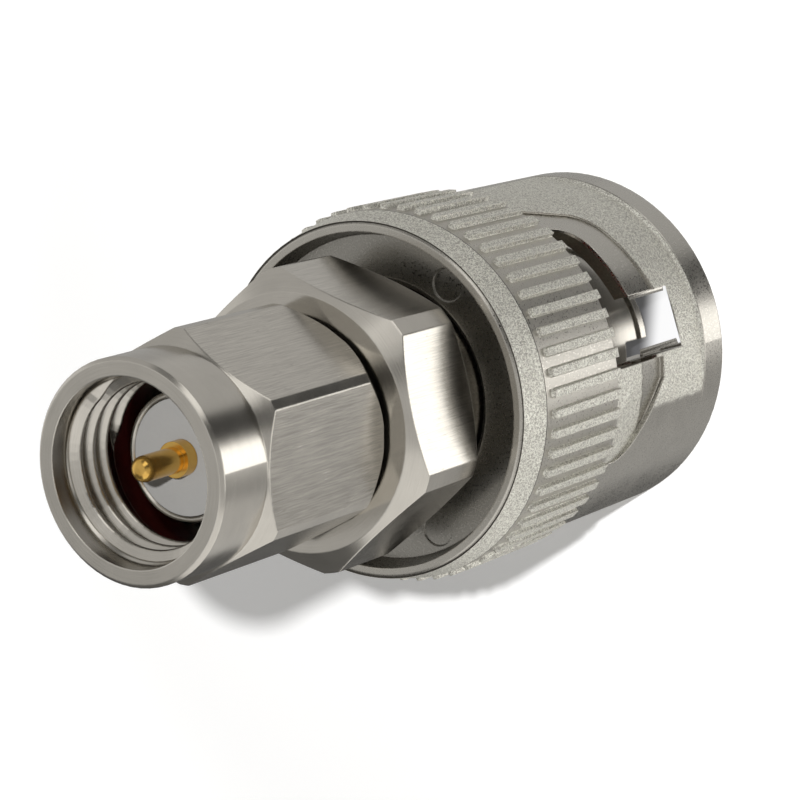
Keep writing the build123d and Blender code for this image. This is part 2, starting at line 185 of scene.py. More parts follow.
class Shader(Graph):
    """A material's or the world's tree."""

    def place(self) -> tuple[Sock, Sock, Sock]:
        """Reads the object's own coordinates.

        Returns:
            x, y and z in millimetres.
        """
        where = self.node("ShaderNodeTexCoord", out="Object")
        inputs = {0: where, "Scale": 1 / MM}
        return self.split(self.node("ShaderNodeVectorMath", {"operation": "SCALE"}, inputs))

    def noise(self, vector: Sock, scale: float, detail: float = 2.0, rough: float = 0.5) -> Sock:
        """Noise from 0 to 1.

        Args:
            vector: Where it is read.
            scale: Waves per unit of that vector.
            detail: Number of finer layers.
            rough: Strength of the finer layers.

        Returns:
            The noise's value.
        """
        inputs = {"Vector": vector, "Scale": scale, "Detail": detail, "Roughness": rough}
        return self.node("ShaderNodeTexNoise", None, inputs)

    def mix(self, factor: Number, first: Union[Sock, Colour], second: Union[Sock, Colour]) -> Sock:
        """Mixes two colours.

        Args:
            factor: Share of the second one.
            first: A socket or a colour.
            second: A socket or a colour.

        Returns:
            The mixed colour.
        """
        first, second = (
            (*colour, 1.0) if isinstance(colour, tuple) else colour for colour in (first, second)
        )
        inputs = {MIX_FACTOR: factor, MIX_FIRST: first, MIX_SECOND: second}
        return self.node("ShaderNodeMix", {"data_type": "RGBA"}, inputs, MIX_RESULT)

    def soft_edges(self, radius: float) -> Sock:
        """Normal rounded over the edges.

        Args:
            radius: Radius in millimetres.

        Returns:
            The normal.
        """
        return self.node("ShaderNodeBevel", {"samples": BEVEL_SAMPLES}, {"Radius": radius * MM})

    def bump(self, height: Sock, depth: float, under: Sock) -> Sock:
        """A bumped normal.

        Args:
            height: Height from 0 to 1.
            depth: What 1 stands for, in millimetres.
            under: The normal to start from.

        Returns:
            The normal.
        """
        inputs = {"Height": height, "Distance": depth * MM, "Strength": 1.0, "Normal": under}
        return self.node("ShaderNodeBump", None, inputs)

    def edge_share(self, rounded: Sock) -> Sock:
        """How far a rounded normal leaves the plain one.

        Args:
            rounded: The rounded normal.

        Returns:
            0 on a face and 1 on an edge.
        """
        plain = self.node("ShaderNodeNewGeometry", out="Normal")
        settings = {"operation": "DOT_PRODUCT"}
        dot = self.node("ShaderNodeVectorMath", settings, {0: rounded, 1: plain}, "Value")
        return dot.step(*EDGE_COSINES)


class Shape(Graph):
    """A Geometry Nodes tree whose sizes are named inputs, in metres."""

    def __init__(self, name: str, **sizes: float) -> None:
        """Starts a tree with one input for each size.

        Args:
            name: The tree's name.
            sizes: The inputs' names and values; an int makes a whole-number input.
        """
        super().__init__(bpy.data.node_groups.new(name, "GeometryNodeTree"))
        face = self.tree.interface
        face.new_socket("Geometry", in_out="OUTPUT", socket_type="NodeSocketGeometry")
        self.values: dict[str, float] = {}
        for label, value in sizes.items():
            kind = "NodeSocketInt" if isinstance(value, int) else "NodeSocketFloat"
            socket = face.new_socket(label, in_out="INPUT", socket_type=kind)
            self.values[socket.identifier] = value
        entry = self.node("NodeGroupInput").socket.node
        self.sizes = {label: Sock(self, entry.outputs[label]) for label in sizes}

    def mesh(self, geometry: Sock, material: bpy.types.Material) -> bpy.types.Mesh:
        """Ends the tree, runs it and keeps its result as a plain mesh.

        Args:
            geometry: The tree's geometry.
            material: The material of all its faces.

        Returns:
            The mesh.
        """
        real = self.node("GeometryNodeRealizeInstances", None, {"Geometry": geometry})
        inputs = {"Geometry": real, "Material": material}
        dressed = self.node("GeometryNodeSetMaterial", None, inputs)
        self.node("NodeGroupOutput", None, {0: dressed})
        carrier = bpy.data.objects.new("carrier", bpy.data.meshes.new("carrier"))
        bpy.context.scene.collection.objects.link(carrier)
        modifier = carrier.modifiers.new("shape", "NODES")
        modifier.node_group = self.tree
        for identifier, value in self.values.items():
            modifier[identifier] = value
        seen = bpy.context.evaluated_depsgraph_get()
        mesh = bpy.data.meshes.new_from_object(carrier.evaluated_get(seen))
        bpy.data.objects.remove(carrier)
        return mesh


class Cut(Enum):
    """How a bright metal surface was cut."""

    TURNED = "turned"
    HEXAGON = "hexagon"


class Skin(Enum):
    """Which faces of a casting are frosted."""

    FROSTED = "frosted"
    BY_PLACE = "by place"


class WaveWasher(Enum):
    """Which of the two wave washers."""

    FRONT = "front"
    REAR = "rear"


@dataclass(frozen=True)
class Finish:
    """A finish that one or more pieces share.

    Args:
        name: The material's name.
        slot: The record's material slot that it belongs to; not used.
        colour: Base colour.
        roughness: Roughness of its smooth parts.
        metallic: 1 for metal and 0 for the rest.
    """

    name: str
    slot: str
    colour: Colour
    roughness: float
    metallic: float = 1.0

    def material(self) -> bpy.types.Material:
        """Makes the finish's material, once.

        Returns:
            The material.
        """
        if self.name in bpy.data.materials:
            return bpy.data.materials[self.name]
        material = bpy.data.materials.new(self.name)
        material.use_nodes = True
        material.diffuse_color = (*self.colour, 1.0)
        shader = Shader(material.node_tree)
        sockets: dict[str, Any] = {"Metallic": self.metallic}
        sockets.update(self.detail(shader))
        surface = shader.node("ShaderNodeBsdfPrincipled", None, sockets)
        shader.node("ShaderNodeOutputMaterial", None, {"Surface": surface})
        return material

    def tone(self, share: float) -> Colour:
        """The base colour made darker or brighter."""
        return tuple(min(1.0, part * share) for part in self.colour)

    def detail(self, shader: Shader) -> dict[str, Any]:
        """Sockets that vary over the surface.

        Args:
            shader: The material's tree.

        Returns:
            The values of the surface shader's sockets, by name.
        """
        raise NotImplementedError


@dataclass(frozen=True)
class CutNickel(Finish):
    """Bright plated metal with tool marks.

    Args:
        cut: Turned all over, or with six milled flats.
        across_flats: The hexagon's size in millimetres.
        flat_angle: Direction that one flat faces, in degrees.
        ring_depth: Depth of the turning marks in millimetres.
        line_depth: Depth of the lines along the flats in millimetres.
        edge: Radius of the rounded edges, which wear and a painted highlight make brighter, in
            millimetres.
        flat_slack: How far from its place a flat still counts as one, in millimetres.
        flat_blend: Width over which a flat's marks fade out, in millimetres.
        marks: Rings or lines in a millimetre.
        ring_drift: How fast a ring changes on its way round.
        line_drift: How fast a line changes along the axis.
        specks: Specks in a millimetre across a flat.
        speck_drift: How fast a speck changes along the axis.
        clouds: Patches of dirt in a millimetre.
        tones: Shares of the base colour where it is dirty, clean, and on edges that wear and a
            painted highlight make bright.
    """

    cut: Cut = Cut.TURNED
    across_flats: float = 0.0
    flat_angle: float = 0.0
    ring_depth: float = 0.0012
    line_depth: float = 0.0006
    edge: float = 0.08
    flat_slack: float = 0.008
    flat_blend: float = 0.012
    marks: float = 26.0
    ring_drift: float = 0.02
    line_drift: float = 0.025
    specks: float = 9.0
    speck_drift: float = 0.25
    clouds: float = 0.9
    tones: tuple[float, float, float] = (0.76, 1.10, 1.35)

    def flats(self, x: Sock, y: Sock, radius: Sock) -> Sock:
        """Mask of the flats.

        Args:
            x: First coordinate in millimetres.
            y: Second coordinate in millimetres.
            radius: Distance from the axis.

        Returns:
            1 on the flats and 0 on what is turned.
        """
        sixth = math.radians(60.0)
        turn = y.math("ARCTAN2", x) - (math.radians(self.flat_angle) - sixth / 2)
        reach = radius * (turn.math("WRAP", sixth, 0.0) - sixth / 2).math("COSINE")
        half = self.across_flats / 2
        return reach.window(half - self.flat_slack, half + self.flat_slack, self.flat_blend)

    def detail(self, shader: Shader) -> dict[str, Any]:
        """Fine rings where it is turned, lines and specks where it is milled, edges brightened by
        wear and a painted highlight.

        Args:
            shader: The material's tree.

        Returns:
            The values of the surface shader's sockets, by name.
        """
        x, y, z = shader.place()
        radius = (x * x + y * y).math("SQRT")
        around = shader.join(radius, (x + y) * self.ring_drift, z)
        rings = shader.noise(around, self.marks, 3.0, 0.65)
        cloud = shader.noise(shader.join(x, y, z), self.clouds, 2.0)
        height = rings * self.ring_depth
        rough = cloud * 0.10 + self.roughness
        dirt = rings * 0.5 + cloud * 0.5
        if self.cut is Cut.HEXAGON:
            mask = self.flats(x, y, radius)
            along = shader.join(x, y, z * self.line_drift)
            lines = shader.noise(along, self.marks, 3.0, 0.7)
            stretched = shader.join(x, y, z * self.speck_drift)
            specks = shader.noise(stretched, self.specks, 1.0).step(0.70, 0.78)
            milled = lines * self.line_depth + specks * (self.line_depth * 1.2)
            height = height * (1 - mask) + milled * mask
            streaks = lines.step(0.36, 0.64)
            dirt = dirt * (1 - mask) + mask * (streaks * 0.6 - specks * 0.5 + 0.25)
            rough = rough + mask * (lines * 0.10 - 0.03)
        rounded = shader.soft_edges(self.edge)
        dirty, clean, worn = (self.tone(share) for share in self.tones)
        colour = shader.mix(dirt, dirty, clean)
        # Edges are brighter: partly wear, partly a painted highlight.
        colour = shader.mix(shader.edge_share(rounded) * 0.5, colour, worn)
        return {
            "Base Color": colour,
            "Roughness": rough,
            "Normal": shader.bump(height, 1.0, rounded),
        }


@dataclass(frozen=True)
class CastNickel(Finish):
    """Cast metal with a frosted, sparkling grain outside and a smoother skin in its hollows.

    Args:
        skin: Frosted all over, or where the casting is.
        frosted: Roughness where it is frosted.
        blend: Width over which its places fade into each other, in millimetres.
        grain: Grains in a millimetre.
        fineness: How much finer the second layer of grain is.
        clouds: Soft patches in a millimetre.
        grain_depth: Depth of the grain in millimetres.
        neck: Least and greatest radius of the frosted neck.
        neck_top: Height of the neck's rear end.
        root: Least and greatest radius of the band that carries the ribs.
        root_rough: How much rougher that band is than the smooth parts.
        rim: Height of the parting line at the rim's edge.
        rim_line: Radii between which that line comes up.
        rim_width: Half of that line's width in millimetres.
        rim_radius: Radius where the frosted cone ends at the rear.
        recess_radius: Radius of the recess in the rear face, which is painted darker as shade.
        groove: Least and greatest radius of the fine groove round the rear face.
        wall: Least and greatest radius of the faces round the window and the arch, which are painted
            dark as shade.
        wall_bottom: Height of those faces' lower end.
        edge: Radius of the rounded edges, which wear and a painted highlight make brighter, in
            millimetres.
        skin_tones: Shares of the base colour over its smooth parts.
        grain_and_glint_tones: Shares of the base colour from the grain's dark places to its painted
            glints.
        recess_shade_tone: Share of the base colour in the recess, a painted shade.
        wear_and_highlight_tone: Share of the base colour on edges, brightened by wear and a painted
            highlight.
        line_shade_colour: Colour of the painted shade in the parting line and the groove.
        shaded_wall_colours: Colours of the painted shade on the faces round the window and the arch.
    """

    skin: Skin = Skin.BY_PLACE
    frosted: float = 0.50
    blend: float = 0.02
    grain: float = 10.5
    fineness: float = 2.3
    clouds: float = 1.1
    grain_depth: float = 0.052
    neck: tuple[float, float] = (6.70, 6.86)
    neck_top: float = 8.7
    root: tuple[float, float] = (6.93, 7.00)
    root_rough: float = 0.10
    rim: float = 13.9
    rim_line: tuple[float, float] = (6.85, 6.92)
    rim_width: float = 0.010
    rim_radius: float = 6.68
    recess_radius: float = 6.31
    groove: tuple[float, float] = (6.65, 6.70)
    wall: tuple[float, float] = (5.60, 6.48)
    wall_bottom: float = 3.4
    edge: float = 0.07
    skin_tones: tuple[float, float] = (0.86, 1.0)
    grain_and_glint_tones: tuple[float, float] = (0.88, 1.85)
    recess_shade_tone: float = 0.55
    wear_and_highlight_tone: float = 1.5
    line_shade_colour: Colour = (0.05, 0.045, 0.04)
    shaded_wall_colours: tuple[Colour, Colour] = ((0.07, 0.055, 0.035), (0.22, 0.19, 0.13))

    def frost(self, z: Sock, radius: Sock) -> Number:
        """Mask of the frosted faces.

        Args:
            z: Height in millimetres.
            radius: Distance from the axis.

        Returns:
            1 where it is frosted.
        """
        if self.skin is Skin.FROSTED:
            return 1.0
        neck = radius.window(*self.neck, self.blend)
        neck = neck * z.step(self.neck_top + self.blend, self.neck_top)
        behind = z.step(self.rim, self.rim + self.blend)
        return neck + behind * radius.step(self.rim_radius, self.rim_radius + 0.03)

    def detail(self, shader: Shader) -> dict[str, Any]:
        """Grain with painted glints, edges brightened by wear and a painted highlight, and painted
        shade in the parting line, groove, recess and window walls.

        Args:
            shader: The material's tree.

        Returns:
            The values of the surface shader's sockets, by name.
        """
        x, y, z = shader.place()
        radius = (x * x + y * y).math("SQRT")
        where = shader.join(x, y, z)
        frost = self.frost(z, radius)
        grain = shader.noise(where, self.grain, 2.0, 0.6)
        fine = shader.noise(where, self.grain * self.fineness, 0.0)
        soft = shader.noise(where, self.clouds, 3.0)
        share = frost * 0.93 + 0.07
        height = (grain * 0.75 + fine * 0.25) * share
        glint = grain.step(0.50, 0.66) * fine.step(0.40, 0.60)
        rounded = shader.soft_edges(self.edge)
        colour = shader.mix(soft, *(self.tone(share) for share in self.skin_tones))
        # Frosted faces get a brighter base colour with bright specks: painted sheen and painted
        # glints on the grain.
        tooth = (grain * 0.5 + fine * 0.5).step(0.38, 0.60)
        sparkle = shader.mix(tooth, *(self.tone(share) for share in self.grain_and_glint_tones))
        colour = shader.mix(frost * 0.85, colour, sparkle)
        # Edges are brighter: partly wear, partly a painted highlight.
        colour = shader.mix(shader.edge_share(rounded) * 0.45, colour, self.tone(self.wear_and_highlight_tone))
        rough = frost * (self.frosted - self.roughness) + self.roughness
        rough = soft * 0.10 - glint * 0.22 + rough
        if self.skin is Skin.BY_PLACE:
            rear = z.step(self.rim + 0.1, self.rim + 0.2)
            # Painted shade: the recess in the rear face is darkened.
            recess = radius.step(self.recess_radius + 0.01, self.recess_radius - 0.02) * rear
            colour = shader.mix(recess * 0.85, colour, self.tone(self.recess_shade_tone))
            # Painted shade: a dark line along the parting line at the rim and in the groove round
            # the rear face.
            line = z.window(self.rim - self.rim_width, self.rim + self.rim_width, self.blend)
            line = line * radius.step(*self.rim_line)
            line = line.math("MAXIMUM", radius.window(*self.groove, 0.015) * rear)
            colour = shader.mix(line * 0.9, colour, self.line_shade_colour)
            root = radius.window(*self.root, self.blend) * z.step(self.rim, self.rim - self.blend)
            # Painted shade: dark brown, mottled by the grain, on the faces round the window and the
            # arch.
            shaded_wall = radius.window(*self.wall, 0.03)
            shaded_wall = shaded_wall * z.window(self.wall_bottom, self.neck_top - 0.1, 0.05)
            colour = shader.mix(shaded_wall * 0.85, colour, shader.mix(grain, *self.shaded_wall_colours))
            rough = rough + root * self.root_rough + shaded_wall * 0.3
        return {
            "Base Color": colour,
            "Roughness": rough,
            "Normal": shader.bump(height, self.grain_depth, rounded),
        }


@dataclass(frozen=True)
class Gold(Finish):
    """Polished gold plate over fine turning marks.

    Args:
        deep: Shares of the base colour's three parts in its darker places.
        marks: Turning marks in a millimetre.
        drift: How fast a mark changes on its way round.
        clouds: Soft patches in a millimetre.
        depth: Depth of those marks in millimetres.
        edge: Radius of the worn edges in millimetres.
    """

    deep: Colour = (0.80, 0.68, 0.5)
    marks: float = 30.0
    drift: float = 0.05
    clouds: float = 2.5
    depth: float = 0.0010
    edge: float = 0.03

    def detail(self, shader: Shader) -> dict[str, Any]:
        """Fine rings and a slight change of tone.

        Args:
            shader: The material's tree.

        Returns:
            The values of the surface shader's sockets, by name.
        """
        x, y, z = shader.place()
        radius = (x * x + y * y).math("SQRT")
        around = shader.join(radius, (x + y) * self.drift, z)
        rings = shader.noise(around, self.marks, 2.0)
        cloud = shader.noise(shader.join(x, y, z), self.clouds, 2.0)
        deep = tuple(part * share for part, share in zip(self.colour, self.deep))
        rounded = shader.soft_edges(self.edge)
        return {
            "Base Color": shader.mix(cloud, deep, self.colour),
            "Roughness": cloud * 0.12 + self.roughness,
            "Normal": shader.bump(rings, self.depth, rounded),
        }


@dataclass(frozen=True)
class Moulded(Finish):
    """Insulator or rubber, with faint mottling and grain.

    Args:
        metallic: 0, as it isn't metal.
        clouds: Soft patches in a millimetre.
        grain: Waves of its grain in a millimetre.
        depth: Depth of the grain in millimetres.
        shade: How much darker its dark places are.
        edge: Radius of its soft edges in millimetres.
    """

    metallic: float = 0.0
    clouds: float = 1.5
    grain: float = 6.0
    depth: float = 0.006
    shade: float = 0.1
    edge: float = 0.05

    def detail(self, shader: Shader) -> dict[str, Any]:
        """Faint mottling and grain.

        Args:
            shader: The material's tree.

        Returns:
            The values of the surface shader's sockets, by name.
        """
        where = shader.join(*shader.place())
        cloud = shader.noise(where, self.clouds, 3.0)
        grain = shader.noise(where, self.grain, 2.0)
        mottle = cloud * 0.7 + grain * 0.3
        return {
            "Base Color": shader.mix(mottle, self.tone(1 - self.shade), self.colour),
            "Roughness": grain * 0.1 + self.roughness,
            "Normal": shader.bump(grain, self.depth, shader.soft_edges(self.edge)),
        }


NICKEL: Colour = (0.60, 0.575, 0.53)
SATIN: Colour = (0.56, 0.54, 0.50)
# Grey for the white insulators: their colour darkened as painted shade for the bores they sit in.
SHADED_WHITE: Colour = (0.32, 0.315, 0.305)
NUT_NICKEL = CutNickel(
    "nut_nickel", "turned_nickel", NICKEL, 0.17,
    cut=Cut.HEXAGON, across_flats=7.94, flat_angle=-6.2,
)
FLANGE_NICKEL = CutNickel(
    "flange_nickel", "turned_nickel", NICKEL, 0.14,
    cut=Cut.HEXAGON, across_flats=10.0, flat_angle=6.4, line_depth=0.0003,
)
BARREL_NICKEL = CutNickel("barrel_nickel", "turned_nickel", NICKEL, 0.20)
SPRING_METAL = CutNickel("spring_metal", "spring_metal", (0.50, 0.49, 0.47), 0.30)
CAST_NICKEL = CastNickel("cast_nickel", "satin_nickel", SATIN, 0.25)
RIB_NICKEL = CastNickel("rib_nickel", "satin_nickel", SATIN, 0.25, skin=Skin.FROSTED)
GOLD_PLATE = Gold("gold_plate", "gold", (0.83, 0.55, 0.16), 0.16)
SHADED_INSULATOR = Moulded("insulator_shaded_white", "white_insulator", SHADED_WHITE, 0.42, shade=0.08)
GASKET_RED = Moulded("gasket_red", "red_silicone", (0.42, 0.03, 0.025), 0.45)


def dress(node: str, finish: Finish) -> bpy.types.Object:
    """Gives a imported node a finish.

    Args:
        node: The node's name.
        finish: The finish.

    Returns:
        The node's object.
    """
    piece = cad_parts[node]
    piece.data.materials.clear()
    piece.data.materials.append(finish.material())
    LOG.info("%s: %s", node, finish.name)
    return piece


def merged_copy(node: str) -> tuple[bpy.types.Mesh, np.ndarray]:
    """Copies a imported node's mesh and merges the points that it holds twice.

    Args:
        node: The node's name.

    Returns:
        The copy, and the normals that its corners had before.
    """
    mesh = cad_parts[node].data.copy()
    corners = np.empty(len(mesh.loops) * 3, np.float32)
    mesh.corner_normals.foreach_get("vector", corners)
    mesh.attributes.new("shading", "FLOAT_VECTOR", "CORNER").data.foreach_set("vector", corners)
    work = bmesh.new()
    work.from_mesh(mesh)
    bmesh.ops.remove_doubles(work, verts=work.verts, dist=MERGE_DISTANCE * MM)
    work.to_mesh(mesh)
    work.free()
    corners = np.empty(len(mesh.loops) * 3, np.float32)
    carried = mesh.attributes["shading"]
    carried.data.foreach_get("vector", corners)
    mesh.attributes.remove(carried)
    mesh.materials.clear()
    return mesh, corners.reshape(-1, 3)


def add_piece(name: str, mesh: bpy.types.Mesh, body: str, finish: Finish) -> bpy.types.Object:
    """Adds a piece that rides on a body.

    Args:
        name: The piece's name.
        mesh: Its mesh, in place.
        body: The body it moves with.
        finish: Its finish, already on the mesh.

    Returns:
        The piece.
    """
    mesh.name = name
    piece = bpy.data.objects.new(name, mesh)
    bpy.context.scene.collection.objects.link(piece)
    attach(piece, body)
    LOG.info("%s: %d faces, %s", name, len(mesh.polygons), finish.name)
    return piece


@dataclass(frozen=True)
class SoftBox:
    """A patch of the studio that metal mirrors.

    Args:
        azimuth: Direction of its middle in degrees from +X.
        width: Its width in degrees.
        low: Elevation of its lower edge.
        high: Elevation of its upper edge.
        edge: Width of its soft edge in degrees.
        strength: Its brightness.
    """

    azimuth: float
    width: float
    low: float
    high: float
    edge: float
    strength: float


@dataclass
class Studio:
    """Floor, light and camera; sizes are in millimetres in the part's frame.

    Args:
        base: Brightness of the dome at its foot.
        zenith: Brightness of the dome overhead.
        boxes: Patches that the metal mirrors; a later one covers an earlier one.
        tint: Colour of the dome's light.
        fill: Share of the dome's light that lights the surfaces diffusely.
        floor_reach: Half of the floor's side.
        floor_colour: Colour of the floor's paper.
        floor_lift: Brightness that the paper has of its own where it is seen.
        plain_reach: Radii between which it becomes plain white.
        mouth_radius: Radius of the paper inside the coupling, seen through its window.
        mouth_edge: Half of the width of that disc's soft edge.
        mouth_glow: Brightness of the painted glow in that disc's dim and bright parts.
        mouth_shade_colour: Dark colour of that disc, under its painted glow.
        mouth_fade: Places along X between which its painted shadow turns into the bright painted
            glow.
        mouth_slant: How far that change leans.
        camera_place: The camera's place.
        camera_right: Direction of the picture's right.
        camera_down: Direction of the picture's lower edge.
        lens: Focal length.
        sensor: Width of the sensor.
        clip: Nearest and farthest distance that the camera sees.
        lamp_distance: Distance of the lamp from the origin.
        lamp_right: How far right of the camera's direction the lamp is.
        lamp_up: How far above it the lamp is.
        lamp_size: The lamp's diameter.
        lamp_power: The lamp's power in watts.
    """

    base: float = 0.40
    zenith: float = 0.62
    boxes: tuple[SoftBox, ...] = (
        SoftBox(85.0, 80.0, -80.0, -30.0, 10.0, 0.56),
        SoftBox(-143.0, 62.0, -86.0, -15.0, 9.0, 0.10),
        SoftBox(-134.0, 58.0, -12.0, 42.0, 9.0, 0.14),
        SoftBox(-72.5, 55.0, -45.0, 60.0, 8.0, 1.00),
        SoftBox(-7.5, 25.0, -35.0, 14.0, 5.0, 1.25),
        SoftBox(-2.5, 22.0, -72.0, -35.0, 5.0, 2.30),
        SoftBox(32.0, 22.0, -75.0, 62.0, 7.0, 0.08),
        SoftBox(60.0, 28.0, -14.0, 56.0, 7.0, 1.30),
        SoftBox(88.0, 18.0, -30.0, 40.0, 8.0, 0.20),
        SoftBox(175.0, 40.0, -35.0, 30.0, 12.0, 0.80),
    )
    tint: Colour = (1.0, 0.985, 0.95)
    fill: float = 0.38
    floor_reach: float = 3000.0
    floor_colour: Colour = (0.93, 0.93, 0.93)
    floor_lift: float = 0.18
    plain_reach: tuple[float, float] = (26.0, 60.0)
    mouth_radius: float = 5.6
    mouth_edge: float = 0.3
    mouth_glow: tuple[float, float] = (0.08, 0.92)
    mouth_shade_colour: Colour = (0.06, 0.06, 0.065)
    mouth_fade: tuple[float, float] = (3.0, 4.0)
    mouth_slant: float = 0.2
    camera_place: tuple[float, float, float] = (63.2006, 15.4789, 105.0211)
    camera_right: tuple[float, float, float] = (0.82797, -0.09487, -0.55269)
    camera_down: tuple[float, float, float] = (0.0, -0.98558, 0.16918)
    lens: float = 135.0
    sensor: float = 36.0
    clip: tuple[float, float] = (5.0, 10000.0)
    lamp_distance: float = 200.0
    lamp_right: float = -0.074
    lamp_up: float = 0.074
    lamp_size: float = 6.0
    lamp_power: float = 0.34

    def world(self) -> None:
        """Grey dome with soft boxes and dark gaps, white where the camera sees it."""
        world = bpy.data.worlds.new("studio")
        world.use_nodes = True
        bpy.context.scene.world = world
        shader = Shader(world.node_tree)
        x, y, z = shader.split(shader.node("ShaderNodeTexCoord", out="Generated"))
        azimuth = y.math("ARCTAN2", x) * math.degrees(1.0)
        height = z.math("ARCSINE") * math.degrees(1.0)
        level = height.step(-90.0, 90.0) * (self.zenith - self.base) + self.base
        for box in self.boxes:
            away = (azimuth - box.azimuth).math("WRAP", 180.0, -180.0).math("ABSOLUTE")
            across = away.step(box.width / 2 + box.edge, box.width / 2)
            mask = across * height.window(box.low, box.high, box.edge)
            level = level * (1 - mask) + mask * box.strength
        diffuse = shader.node("ShaderNodeLightPath", out="Is Diffuse Ray")
        level = level * (1 - diffuse * (1 - self.fill))
        camera = shader.node("ShaderNodeLightPath", out="Is Camera Ray")
        level = level * (1 - camera) + camera
        colour = shader.join(*(level * share for share in self.tint))
        light = shader.node("ShaderNodeBackground", None, {"Color": colour, "Strength": 1.0})
        shader.node("ShaderNodeOutputWorld", None, {"Surface": light})

    def floor(self) -> bpy.types.Object:
        """Plain white floor that keeps the object's shadow.

        Returns:
            The floor.
        """
        mesh = bpy.data.meshes.new("floor")
        reach = self.floor_reach * MM
        signs = ((-1, -1), (1, -1), (1, 1), (-1, 1))
        mesh.from_pydata([(x * reach, y * reach, 0.0) for x, y in signs], [], [(0, 1, 2, 3)])
        floor = bpy.data.objects.new("floor", mesh)
        bpy.context.scene.collection.objects.link(floor)
        material = bpy.data.materials.new("floor_paper")
        material.use_nodes = True
        shader = Shader(material.node_tree)
        x, y, _ = shader.place()
        radius = (x * x + y * y).math("SQRT")
        outer, inner = self.mouth_radius + self.mouth_edge, self.mouth_radius - self.mouth_edge
        # Inside the coupling's mouth the paper is dark and glows: a painted glow that fades into a
        # painted shadow towards lower X.
        inside = radius.step(outer, inner)
        dim, bright = self.mouth_glow
        glow = (x - y * self.mouth_slant).step(*self.mouth_fade) * (bright - dim) + dim
        lift = inside * (glow - self.floor_lift) + self.floor_lift
        lift = lift + radius.step(*self.plain_reach)
        path = shader.node("ShaderNodeLightPath").socket.node.outputs
        rays = ("Is Camera Ray", "Is Glossy Ray", "Is Transmission Ray")
        camera, glossy, through = (Sock(shader, path[name]) for name in rays)
        seen = camera.math("MAXIMUM", glossy.math("MAXIMUM", through))
        colour = shader.mix(inside, self.floor_colour, self.mouth_shade_colour)
        paper = shader.node("ShaderNodeBsdfDiffuse", None, {"Color": colour})
        shine = shader.node("ShaderNodeEmission", None, {"Strength": lift * seen})
        surface = shader.node("ShaderNodeAddShader", None, {0: paper, 1: shine})
        shader.node("ShaderNodeOutputMaterial", None, {"Surface": surface})
        mesh.materials.append(material)
        floor.visible_glossy = False
        return floor

    def camera(self) -> bpy.types.Object:
        """Camera at the photograph's angle, without blur.

        Returns:
            The camera, in use.
        """
        data = bpy.data.cameras.new("camera")
        data.lens = self.lens
        data.sensor_width = self.sensor
        data.clip_start, data.clip_end = (reach * MM for reach in self.clip)
        camera = bpy.data.objects.new("camera", data)
        bpy.context.scene.collection.objects.link(camera)
        right = Vector(self.camera_right).normalized()
        back = right.cross(-Vector(self.camera_down)).normalized()
        turn = Matrix((right, back.cross(right), back)).transposed().to_4x4()
        camera.matrix_world = Matrix.Translation(Vector(self.camera_place) * MM) @ turn
        bpy.context.scene.camera = camera
        return camera

    def lamp(self) -> bpy.types.Object:
        """Soft lamp above the camera's left shoulder, for the shadow on the floor.

        Returns:
            The lamp.
        """
        toward = Vector(self.camera_place).normalized()
        toward += Vector(self.camera_right) * self.lamp_right
        toward -= Vector(self.camera_down) * self.lamp_up
        toward.normalize()
        data = bpy.data.lights.new("lamp", "AREA")
        data.shape = "DISK"
        data.size = self.lamp_size * MM
        data.energy = self.lamp_power
        lamp = bpy.data.objects.new("lamp", data)
        bpy.context.scene.collection.objects.link(lamp)
        lamp.location = toward * self.lamp_distance * MM
        lamp.rotation_euler = toward.to_track_quat("Z", "Y").to_euler()
        lamp.visible_glossy = False
        return lamp

    def build(self) -> None:
        """Sets the studio up."""
        bpy.context.scene.view_settings.view_transform = "Standard"
        self.world()
        self.floor()
        self.camera()
        self.lamp()
        LOG.info("studio: %d soft boxes, lens %.0f mm", len(self.boxes), self.lens)


